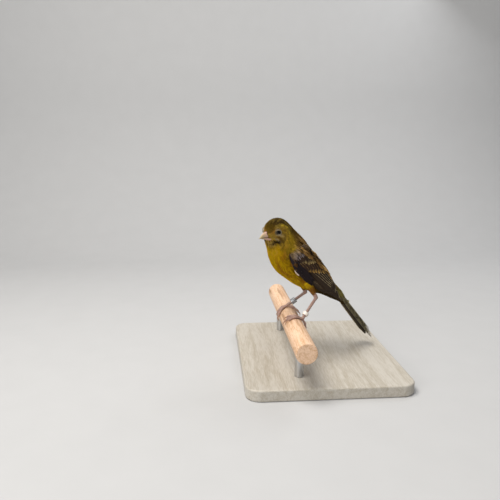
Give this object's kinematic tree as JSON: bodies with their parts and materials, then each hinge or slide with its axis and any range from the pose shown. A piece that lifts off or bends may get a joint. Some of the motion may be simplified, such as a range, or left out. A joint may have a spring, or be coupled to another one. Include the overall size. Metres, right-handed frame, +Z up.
{
  "type": "canary",
  "caption": "Canary perched on a short wooden dowel, head turned to its left and wings folded, with a leg band on each leg, on a plain display stand.",
  "frame": {"origin": "centre of the base's underside, on the surface the stand rests on", "axes": "+Z up, -X the way the bird faces, its left side towards -Y, the dowel along Y"},
  "size_m": [0.112, 0.144, 0.1108],
  "materials": {
    "olive_plumage": "matte",
    "yellow_plumage": "matte",
    "brown_plumage": "matte",
    "bill_horn": "satin",
    "leg_skin": "matte",
    "eye": "gloss",
    "white_band": "satin",
    "grey_band": "satin",
    "dowel_wood": "matte",
    "base_wood": "matte",
    "rod_steel": "brushed"
  },
  "bodies": {
    "root": {"head": "olive_plumage", "neck": "olive_plumage", "torso": "yellow_plumage", "tail": "brown_plumage", "bill_upper": "bill_horn", "bill_lower": "bill_horn", "eye_left": "eye", "eye_right": "eye", "wing_left": "brown_plumage", "wing_right": "brown_plumage", "leg_left": "leg_skin", "leg_right": "leg_skin", "band_left": "white_band", "band_right": "grey_band", "perch": "dowel_wood", "stand_rod_front": "rod_steel", "stand_rod_back": "rod_steel", "stand_base": "base_wood"}
  },
  "joints": []
}
